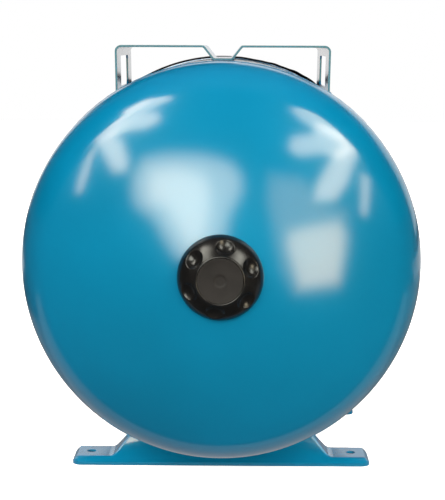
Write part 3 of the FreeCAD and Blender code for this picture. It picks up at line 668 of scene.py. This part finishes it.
def bolts_and_nuts():
    yr = APEX_R
    y_ring0 = yr + 8.0
    y_c1 = yr + 13.0 + 6.0
    y_h0 = y_c1 + 0.02 + 1.6
    tip = yr - 1.5
    bv, bf, nv, nf = [], [], [], []
    segs = 48

    def add(dst_v, dst_f, rings, x, z, cap0=True, cap1=True, close=False):
        b = len(dst_v)
        m = len(rings[0])
        for ring in rings:
            for p in ring:
                dst_v.append(P(x + p[0], p[1], z + p[2]))
        for j in range(len(rings) - 1):
            for i in range(m):
                i2 = (i + 1) % m
                dst_f.append((b + j * m + i, b + j * m + i2, b + (j + 1) * m + i2, b + (j + 1) * m + i))
        if cap0:
            dst_f.append(tuple(b + i for i in reversed(range(m))))
        if cap1:
            dst_f.append(tuple(b + (len(rings) - 1) * m + i for i in range(m)))

    def hex_ring(af, y, rot, lim=None, m=72):
        out = []
        for i in range(m):
            a = 2 * math.pi * i / m
            t = (a % (math.pi / 3)) - math.pi / 6
            r = (af / 2) / math.cos(t)
            r = min(r, af / math.sqrt(3.0) - 0.12)
            if lim is not None:
                r = min(r, lim)
            out.append((r * math.cos(a + rot), y, r * math.sin(a + rot)))
        return out

    for i in range(6):
        ang = math.radians(30 + 60.0 * i)
        x, z = 62.0 * math.cos(ang), 62.0 * math.sin(ang)
        rot = math.radians(10.0 * i)
        # head, chamfered towards its top, with a shallow dished face
        top = y_h0 + 5.3
        rings = [hex_ring(13.0, y_h0 + 0.35, rot, 5.9), hex_ring(13.0, y_h0 + 0.36, rot, 6.9), hex_ring(13.0, y_h0 + 0.55, rot)]
        rings += [hex_ring(13.0, top - 1.05, rot), hex_ring(13.0, top - 0.75, rot, 7.12), hex_ring(13.0, top - 0.45, rot, 6.75), hex_ring(13.0, top - 0.18, rot, 6.3), hex_ring(13.0, top, rot, 5.9), hex_ring(13.0, top - 0.02, rot, 5.2), hex_ring(13.0, top - 0.25, rot, 4.6)]
        add(bv, bf, [hex_ring(13.0, y_h0 + 0.02, rot, 5.7)] + rings, x, z)
        # threaded shank, as a helix of its own
        m, steps = 36, 150
        b = len(bv)
        for s in range(steps + 1):
            y = tip + (y_h0 + 0.3 - tip) * s / steps
            for k in range(m):
                a = 2 * math.pi * k / m
                ph = (y / 1.25 - k / m) % 1.0
                r = 3.97 - tri_thread(ph, 0.62)
                r = min(r, 3.2 + (y - tip) * 1.2)
                bv.append(P(x + r * math.cos(a), y, z + r * math.sin(a)))
        for s in range(steps):
            for k in range(m):
                k2 = (k + 1) % m
                bf.append((b + s * m + k, b + s * m + k2, b + (s + 1) * m + k2, b + (s + 1) * m + k))
        bf.append(tuple(b + k for k in reversed(range(m))))
        bf.append(tuple(b + steps * m + k for k in range(m)))
        # nut, chamfered both ways, open in the middle
        rot = math.radians(17.0 * i)
        a0, a1 = y_ring0 - 6.5, y_ring0 - 0.02
        m = 72
        circ = lambda r, y: [(r * math.cos(2 * math.pi * k / m + rot), y, r * math.sin(2 * math.pi * k / m + rot)) for k in range(m)]
        rings = [circ(4.0, a0 + 0.6), circ(4.5, a0), circ(5.8, a0), hex_ring(13, a0 + 0.3, rot, 6.6), hex_ring(13, a0 + 0.8, rot), hex_ring(13, a1 - 0.8, rot), hex_ring(13, a1 - 0.3, rot, 6.6), circ(5.8, a1), circ(4.5, a1), circ(4.0, a1 - 0.6), circ(4.0, a0 + 0.6)]
        add(nv, nf, rings, x, z, False, False)
    make("flange_bolts_cut", bv, bf, M_ZINC_BRIGHT, "vessel", ("flange_bolts",), 32)
    make("flange_nuts_cut", nv, nf, M_ZINC_BRIGHT, "vessel", ("flange_nuts",), 32)


# ------------------------------------------------------------------ film, whose thick dark edge is partly painted shade, and plate
def film():
    # black wrap film: its near edge is raised and thickened past a real film's, so the black wall paints the film's
    # shadow on the shell as well as its cut edge
    lo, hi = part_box("wrap_label")
    y0, y1 = (lo.y - Y0) / MM, (hi.y - Y0) / MM
    na, ny = 420, 26
    verts = []

    def lumps(deg, t):
        # bumps where the film stands off the shell, which widen its dark edge: wrinkles and painted shade together
        v = 0.0
        for c, w, h in ((13.5, 1.7, 0.4), (18.0, 2.4, 1.2), (21.5, 1.5, 0.7), (25.5, 3.0, 1.9), (31.0, 3.0, 1.5), (6.5, 2.0, 0.3), (-30.0, 3.0, 0.3)):
            v += h * math.exp(-((deg - c - 1.6 * (t - 0.5)) / w) ** 2)
        return v * (0.6 + 0.4 * math.cos((t - 0.1) * 3.0))

    def lift(deg, t):
        """Height over the shell: deg right of the top, t from the near edge (0) to the far edge (1); higher and
        lumpier than a real film lifts, so that its dark edge also paints the film's shadow.
        """
        v = 1.3 + 1.6 * smooth(60, 16, abs(deg)) * (0.62 + 0.38 * smooth(14, -6, deg)) + 0.18 * noise2(deg / 7.0, t * 1.3, 11)
        v *= smooth(0.0, 0.012, t) * 0.25 + 0.75
        return max(0.16, v + lumps(deg, t)) * (1.0 - 0.15 * smooth(0.8, 1.0, t))

    for side in (1, 0):
        for i in range(na + 1):
            d = -62 + 124.0 * i / na
            a = math.radians(90 - d)
            for k in range(ny + 1):
                t = k / ny
                edge = 0.5 * noise2(d / 9.0, 0.5, 21) * (1 - t)
                y = y0 + 0.6 + (y1 - y0 - 0.8) * t + edge
                # underside 1.35 mm and more below the top: a thick black edge, partly painted shade
                r = R + (lift(d, t) if side else max(0.05, lift(d, t) - 1.35 - 0.4 * lumps(d, t)))
                verts.append(P(r * math.cos(a), y, r * math.sin(a)))
    nv = ny + 1
    base = (na + 1) * nv
    faces = grid_faces(na + 1, nv) + [tuple(reversed(f)) for f in grid_faces(na + 1, nv, base=base)]
    for i in range(na):
        for k in (0, ny):
            a, b = i * nv + k, (i + 1) * nv + k
            faces.append((a, b, base + b, base + a))
    for k in range(ny):
        for i in (0, na):
            a, b = i * nv + k, i * nv + k + 1
            faces.append((a, b, base + b, base + a))
    make("wrap_film_and_painted_shade", verts, faces, M_FILM, "vessel", ("wrap_label",), 60)


def plate():
    lo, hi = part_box("rating_plate")
    y0, y1 = (lo.y - Y0) / MM, (hi.y - Y0) / MM
    a0, a1 = 13.0, 41.0
    rc = 5.0
    h = math.radians(a1 - a0) * R
    w = y1 - y0
    # outline in the unrolled plane, rounded corners, as concentric offsets
    def outline(inset):
        pts = []
        x0, x1, z0, z1 = inset, w - inset, inset, h - inset
        r = max(0.5, rc - inset)
        for cx, cz, s in ((x1 - r, z1 - r, 0), (x0 + r, z1 - r, 90), (x0 + r, z0 + r, 180), (x1 - r, z0 + r, 270)):
            n = 10
            pts += [(cx + r * math.cos(math.radians(s + 90 * i / n)), cz + r * math.sin(math.radians(s + 90 * i / n))) for i in range(n + 1)]
        # split the long sides, so that the plate follows the curved shell
        out = []
        for i, p in enumerate(pts):
            q = pts[(i + 1) % len(pts)]
            L = math.hypot(q[0] - p[0], q[1] - p[1])
            k = max(1, int(round(L / 4.0))) if L > 6 else 1
            for t in range(k):
                out.append((p[0] + (q[0] - p[0]) * t / k, p[1] + (q[1] - p[1]) * t / k))
        return out

    base = outline(0.0)
    cx, cz = w / 2, h / 2

    def shrink(f, r):
        return [(cx + (x - cx) * f, cz + (z - cz) * f, r) for x, z in base]

    rings = [[(x, z, R + 0.05) for x, z in base], [(x, z, R + 0.40) for x, z in base]]
    o2 = outline(0.35)
    rings.append([(x, z, R + 0.44) for x, z in o2] if len(o2) == len(base) else shrink(0.995, R + 0.44))
    for f in (0.97, 0.955, 0.94, 0.925):
        rings.append(shrink(f, R + 0.44 - (0.05 if f in (0.955, 0.94) else 0.0)))
    for f in [0.9 - 0.06 * i for i in range(15)]:
        rings.append(shrink(max(f, 0.02), R + 0.44))
    verts, faces = [], []
    for ring in rings:
        for x, z, r in ring:
            a = math.radians(a0) + z / R
            verts.append(P(r * math.cos(a), y0 + x, r * math.sin(a)))
    m = len(base)
    for j in range(len(rings) - 1):
        for i in range(m):
            i2 = (i + 1) % m
            faces.append((j * m + i, j * m + i2, (j + 1) * m + i2, (j + 1) * m + i))
    faces.append(tuple((len(rings) - 1) * m + i for i in range(m)))
    make("rating_plate_blank", verts, faces, M_PLATE, "vessel", ("rating_plate",), 40)


front_head()
rear_head()
shell()
girth("front_girth_bead", "front_girth_weld", -YW, 3)
girth("rear_girth_bead", "rear_girth_weld", YW, 8)
seam()
foot_welds()
bracket_welds()
valve_cover()
seal_ring()
nozzle()
bolts_and_nuts()
film()
plate()

# ------------------------------------------------------------------ carried-over CAD nodes
LOOK = {
    "front_foot": M_PAINT_SHEET, "rear_foot": M_PAINT_SHEET, "pump_bracket": M_PAINT_SHEET,
    "neck_tube": M_PAINT, "neck_ring": M_PAINT, "neck_weld": M_WELD, "valve_bush": M_ZINC, "bush_weld": M_WELD,
    "flange_cover": M_ZINC, "flange_washers": M_ZINC_BRIGHT, "nozzle_weld": M_ZINC,
    "bladder": M_RUBBER, "valve_seal": M_RUBBER, "dust_cap_liner": M_RUBBER,
    "valve_body": M_BRASS, "valve_core": M_BRASS, "valve_pin": M_BRASS, "core_spring": M_WIRE,
    "dust_cap": M_INNER, "cover_insert": M_INNER,
}
for n, m in LOOK.items():
    o = NODES[n]
    o.data.materials.clear()
    o.data.materials.append(m)
    for p in o.data.polygons:
        p.material_index = 0

# ------------------------------------------------------------------ stage
def quad(name, corners, mat):
    me = bpy.data.meshes.new(name)
    me.from_pydata(corners, [], [tuple(range(len(corners)))])
    me.materials.append(mat)
    o = bpy.data.objects.new(name, me)
    bpy.context.scene.collection.objects.link(o)
    return o


mf, ntf, bf_ = principled("pale_floor")
vf = coords(ntf)
link(ntf, ramp(ntf, noise_node(ntf, vf, 3.0, 3.0), [(0.3, (0.86, 0.86, 0.86)), (0.7, (0.9, 0.9, 0.9))]), bf_.inputs["Base Color"])
bf_.inputs["Roughness"].default_value = 0.75
bf_.inputs["Specular IOR Level"].default_value = 0.2
bf_.inputs["Emission Color"].default_value = (1, 1, 1, 1)
bf_.inputs["Emission Strength"].default_value = 0.80
floor = quad("floor", [(-6, -6, 0), (6, -6, 0), (6, 6, 0), (-6, 6, 0)], mf)
floor.visible_glossy = False
floor.visible_diffuse = False

# world: white to the camera, and a dim room around the lights
w = bpy.data.worlds.new("studio")
bpy.context.scene.world = w
w.use_nodes = True
nt = w.node_tree
nt.nodes.clear()
out = nt.nodes.new("ShaderNodeOutputWorld")
bg1 = nt.nodes.new("ShaderNodeBackground")
bg1.inputs["Color"].default_value = (1.0, 0.97, 0.94, 1)
bg1.inputs["Strength"].default_value = 0.05
bg2 = nt.nodes.new("ShaderNodeBackground")
bg2.inputs["Color"].default_value = (1, 1, 1, 1)
bg2.inputs["Strength"].default_value = 1.0
lp = nt.nodes.new("ShaderNodeLightPath")
mx = nt.nodes.new("ShaderNodeMixShader")
nt.links.new(lp.outputs["Is Camera Ray"], mx.inputs["Fac"])
nt.links.new(bg1.outputs[0], mx.inputs[1])
nt.links.new(bg2.outputs[0], mx.inputs[2])
nt.links.new(mx.outputs[0], out.inputs["Surface"])


def glow(name, strength, color=(1, 1, 1), soft=False):
    m = bpy.data.materials.new(name)
    m.use_nodes = True
    t = m.node_tree
    t.nodes.clear()
    e = t.nodes.new("ShaderNodeEmission")
    e.inputs["Color"].default_value = (*color, 1)
    e.inputs["Strength"].default_value = strength
    if soft:
        at = t.nodes.new("ShaderNodeAttribute")
        at.attribute_name = "falloff"
        mr = t.nodes.new("ShaderNodeMapRange")
        mr.interpolation_type = "SMOOTHSTEP"
        mr.inputs["To Max"].default_value = strength
        t.links.new(at.outputs["Fac"], mr.inputs["Value"])
        t.links.new(mr.outputs["Result"], e.inputs["Strength"])
    o = t.nodes.new("ShaderNodeOutputMaterial")
    if soft:
        add = t.nodes.new("ShaderNodeAddShader")
        t.links.new(e.outputs[0], add.inputs[0])
        t.links.new(t.nodes.new("ShaderNodeBsdfTransparent").outputs[0], add.inputs[1])
        t.links.new(add.outputs[0], o.inputs["Surface"])
    else:
        t.links.new(e.outputs[0], o.inputs["Surface"])
    return m


FOCUS = Vector((0, Y0 + (APEX_F + 20) * MM, ZA))


def softbox(name, poly, strength, dist=2.6, color=(1, 1, 1), edge=2.5, lit=None):
    """A flat-ish diffuser seen from the front head over these (azimuth, elevation) corners, in degrees,
    bright inside and fading over its edge."""
    n = len(poly)
    area2 = sum(poly[i][0] * poly[(i + 1) % n][1] - poly[(i + 1) % n][0] * poly[i][1] for i in range(n))
    sgn = 1 if area2 > 0 else -1
    cx, cy = sum(p[0] for p in poly) / n, sum(p[1] for p in poly) / n

    def offset(d):
        out = []
        for i in range(n):
            a, b, c = poly[i - 1], poly[i], poly[(i + 1) % n]
            u = Vector((b[0] - a[0], b[1] - a[1])).normalized()
            v = Vector((c[0] - b[0], c[1] - b[1])).normalized()
            n1, n2 = Vector((u.y, -u.x)) * sgn, Vector((v.y, -v.x)) * sgn
            m = n1 + n2
            m = m / max(0.5, m.dot(n1))
            out.append((b[0] + m.x * d, b[1] + m.y * d))
        return out

    def world_pt(az, el):
        a, e = math.radians(az), math.radians(el)
        d = Vector((math.sin(a) * math.cos(e), -math.cos(a) * math.cos(e), math.sin(e)))
        return tuple(FOCUS + d * dist)

    rings = [offset(edge), offset(-edge)]
    verts = [world_pt(*p) for ring in rings for p in ring] + [world_pt(cx, cy)]
    faces = [(i, (i + 1) % n, n + (i + 1) % n, n + i) for i in range(n)] + [(n + i, n + (i + 1) % n, 2 * n) for i in range(n)]
    me = bpy.data.meshes.new(name)
    me.from_pydata(verts, [], faces)
    at = me.attributes.new("falloff", "FLOAT", "POINT")
    for i in range(len(verts)):
        at.data[i].value = 0.0 if i < n else 1.0
    me.materials.append(glow(name + "_glow", strength, color, True))
    o = bpy.data.objects.new(name, me)
    bpy.context.scene.collection.objects.link(o)
    o.visible_camera = False
    o.light_linking.receiver_collection = lit or SOFT_LIT
    return o


def linked(name, names):
    """Collection of the pieces that a light reaches."""
    c = bpy.data.collections.new(name)
    for n in names:
        c.objects.link(bpy.data.objects[n])
    return c


FRAME = ("pump_bracket", "bracket_beads", "wrap_film_and_painted_shade")
OURS = [o.name for o in bpy.context.scene.objects if o.type == "MESH" and o.name not in FRAME]
SOFT_LIT = linked("softbox_receivers", OURS)
BACK_LIT = linked("side_panel_receivers", [o.name for o in bpy.context.scene.objects if o.type == "MESH" and o.name not in ("front_head_drawn", "front_girth_bead", "cover_moulding", "cover_centre_disc", "cover_seal_soft", "floor")])


WARM_A, WARM_B, WARM_C = (1.0, 0.79, 0.61), (1.0, 0.68, 0.42), (1.0, 0.78, 0.60)
for name, strength, edge, dist, col, corners in (
    ("centre_scrim", 8.5, 4.0, 2.60, WARM_A, [(-36.5, 34), (-27, 37), (-10.5, 38), (-1, 36.5), (4.5, 34.5), (8, 30), (8, 24.5), (5, 19), (3, 15.5), (1.5, 9), (0, 3), (-12, -3), (-17.5, -1), (-22, 5.5), (-26, 12), (-35, 17.5), (-37.5, 22.5), (-38.5, 27.5)]),
    ("centre_core", 6.5, 4.0, 2.62, WARM_A, [(-31, 30), (-19, 32.5), (-8, 30), (-5, 24.5), (-5, 15), (-7, 5.5), (-13, 3), (-17.5, 10.5), (-22.5, 17), (-29, 19.5), (-31, 24.5)]),
    ("right_scrim", 3.4, 4.0, 2.64, WARM_B, [(21, 29.5), (34, 27.5), (44, 16), (51, 13.5), (50.5, 3), (48.5, -4.5), (46.5, -13), (29.5, -15), (24, -6.5), (21.5, 5), (19, 20.5)]),
    ("right_core", 9.0, 3.0, 2.66, WARM_B, [(27, 8), (36, 9.5), (46.5, 10), (49, 5.5), (48, -2), (46.5, -11.5), (31, -13.5), (27.5, -3.5), (25.5, 3.5)]),
    ("left_rib_1", 4.0, 1.0, 2.68, WARM_C, [(-85, 45.5), (-87, 53), (-81.5, 60.5), (-76.5, 64.5), (-55, 58), (-54.5, 50), (-57, 42)]),
    ("left_rib_2", 11.0, 0.8, 2.70, WARM_C, [(-71, 37.5), (-78, 45), (-77.5, 52), (-73.5, 60.5), (-48.5, 64), (-34.5, 58.5), (-44.5, 52), (-51, 46), (-55.5, 40), (-60, 35.5)]),
    ("left_rib_3", 13.0, 1.6, 2.72, WARM_C, [(-59, 38.5), (-53.5, 44.5), (-46, 50.5), (-39, 52.5), (-35, 49.5), (-40.5, 45.5), (-51, 42)]),
    ("left_rib_4", 13.0, 2.4, 2.74, WARM_C, [(-61, 35.5), (-56.5, 40), (-49.5, 38.5), (-43, 32.5), (-42.5, 28.5), (-48, 27.5), (-54, 31.5)]),
    ("left_rib_5", 11.0, 1.2, 2.76, WARM_C, [(-61, 35), (-60, 29.5), (-59, 24), (-59.5, 18), (-62, 17.5), (-62.5, 22.5), (-62.5, 28.5)]),
    ("left_rib_6", 4.5, 1.0, 2.78, WARM_C, [(-76.5, 39.5), (-80.5, 35), (-80.5, 29.5), (-76, 28), (-69.5, 33), (-67, 37)]),
    ("right_rib_1", 9.5, 1.0, 2.68, WARM_C, [(41.5, 53.5), (57.5, 55), (69, 50), (76.5, 43), (70, 36), (58.5, 36), (52, 42), (44.5, 48)]),
    ("right_rib_2", 10.5, 1.6, 2.70, WARM_C, [(51.5, 46), (66, 41), (63.5, 33.5), (54.5, 31.5), (46, 35), (36, 35.5), (32, 39), (35.5, 43), (46.5, 42.5)]),
    ("right_rib_3", 12.0, 1.8, 2.72, WARM_C, [(74, 35.5), (59, 28), (53.5, 22.5), (46.5, 17.5), (38.5, 19), (40.5, 24.5), (46.5, 29.5), (53.5, 34)]),
    ("right_rib_4", 9.5, 1.2, 2.74, WARM_C, [(61, 25), (64.5, 22.5), (61.5, 15.5), (59, 10.5), (56.5, 11.5), (58.5, 18)]),
):
    softbox(name, corners, strength, dist, col, edge)


def area(name, loc, target, size, power, color=(1, 1, 1), size_y=None):
    d = bpy.data.lights.new(name, "AREA")
    d.energy = power
    d.color = color
    d.shape = "RECTANGLE"
    d.size = size
    d.size_y = size_y or size
    o = bpy.data.objects.new(name, d)
    o.location = loc
    o.rotation_mode = "QUATERNION"
    o.rotation_quaternion = (Vector(target) - Vector(loc)).to_track_quat("-Z", "Y")
    bpy.context.scene.collection.objects.link(o)
    o.visible_camera = False
    return o


def panel(name, corners, strength, linked_to=None, color=(1, 1, 1)):
    o = quad(name, corners, glow(name + "_glow", strength, color))
    o.visible_camera = False
    if linked_to:
        o.light_linking.receiver_collection = linked_to
    return o


panel("back_wall", [(-1.5, 2.2, 0.15), (3.1, 2.2, 0.15), (3.1, 2.2, 1.75), (-1.5, 2.2, 1.75)], 0.85)
for n, x0, x1, y0, y1, k in (("table_front", -0.75, 0.80, -0.235, -0.10, 0.45), ("table_rest", -0.50, 0.95, -0.10, 0.75, 0.24), ("table_far", -1.15, 1.8, 0.75, 2.2, 0.75), ("table_right", 0.95, 1.8, 0.25, 0.75, 0.6)):
    card = panel(n, [(x0, y0, 0.0004), (x1, y0, 0.0004), (x1, y1, 0.0004), (x0, y1, 0.0004)], k)
    card.visible_shadow = False
    card.visible_diffuse = False
panel("side_panel_right", [(2.4, -0.9, 0.5), (2.4, 1.1, 0.5), (1.5, 1.1, 2.2), (1.5, -0.9, 2.2)], 3.0, BACK_LIT)
panel("side_panel_left", [(-2.4, -0.9, 0.5), (-2.4, 1.1, 0.5), (-1.5, 1.1, 2.2), (-1.5, -0.9, 2.2)], 3.0, BACK_LIT)
panel("rear_panel", [(-1.3, 2.4, 0.7), (0.1, 2.6, 0.7), (0.1, 1.9, 2.0), (-1.3, 1.7, 2.0)], 4.0, BACK_LIT)
for n, loc, tgt, size, power in (("top_fill", (0.0, 0.2, 2.8), (0, 0.0, 0.1), 2.4, 62), ("front_fill", (0.25, -2.9, 0.8), (0, 0.0, 0.2), 1.6, 20), ("rear_fill", (0.6, 2.6, 1.6), (0, 0.1, 0.2), 1.6, 30)):
    area(n, loc, tgt, size, power).visible_glossy = False

bounce = area("table_bounce", (0, -0.1, 0.002), (0, -0.1, 1.0), 1.6, 1.5, size_y=1.0)
bounce.visible_glossy = False
panel("frame_card", [(-1.0, -3.4, -0.2), (1.0, -3.4, -0.2), (1.0, -3.4, 0.9), (-1.0, -3.4, 0.9)], 3.2, linked("frame_card_receivers", FRAME[:2]), (1.0, 0.90, 0.55)).visible_shadow = False
fl = area("frame_fill", (0.3, -2.2, 1.0), (0, 0, 0.38), 1.2, 30, (1.0, 0.92, 0.36))
fl.visible_glossy = False
fl.light_linking.receiver_collection = linked("frame_fill_receivers", FRAME[:2])

sun = bpy.data.lights.new("floor_sun", "SUN")
sun.energy = 1.6
sun.angle = math.radians(70)
so = bpy.data.objects.new("floor_sun", sun)
so.rotation_mode = "QUATERNION"
so.rotation_quaternion = Vector((0.05, 0.25, -1.0)).to_track_quat("-Z", "Y")
bpy.context.scene.collection.objects.link(so)
so.light_linking.receiver_collection = linked("floor_only", ["floor"])

# ------------------------------------------------------------------ camera
cam = bpy.data.cameras.new("camera")
cam.sensor_width = 36.0
cam.lens = 1433.8 / 500.0 * 36.0
cam.shift_y = -0.095
cam.clip_start, cam.clip_end = 0.05, 50
co = bpy.data.objects.new("camera", cam)
bpy.context.scene.collection.objects.link(co)
co.rotation_mode = "XYZ"
co.location = (0.0112, Y0 - 1.475, ZA + 0.198)
co.rotation_euler = (math.radians(90 - 6.3), math.radians(-0.237), math.radians(0.479))
bpy.context.scene.camera = co
bpy.context.scene.view_settings.view_transform = "Standard"
bpy.context.scene.view_settings.look = "None"
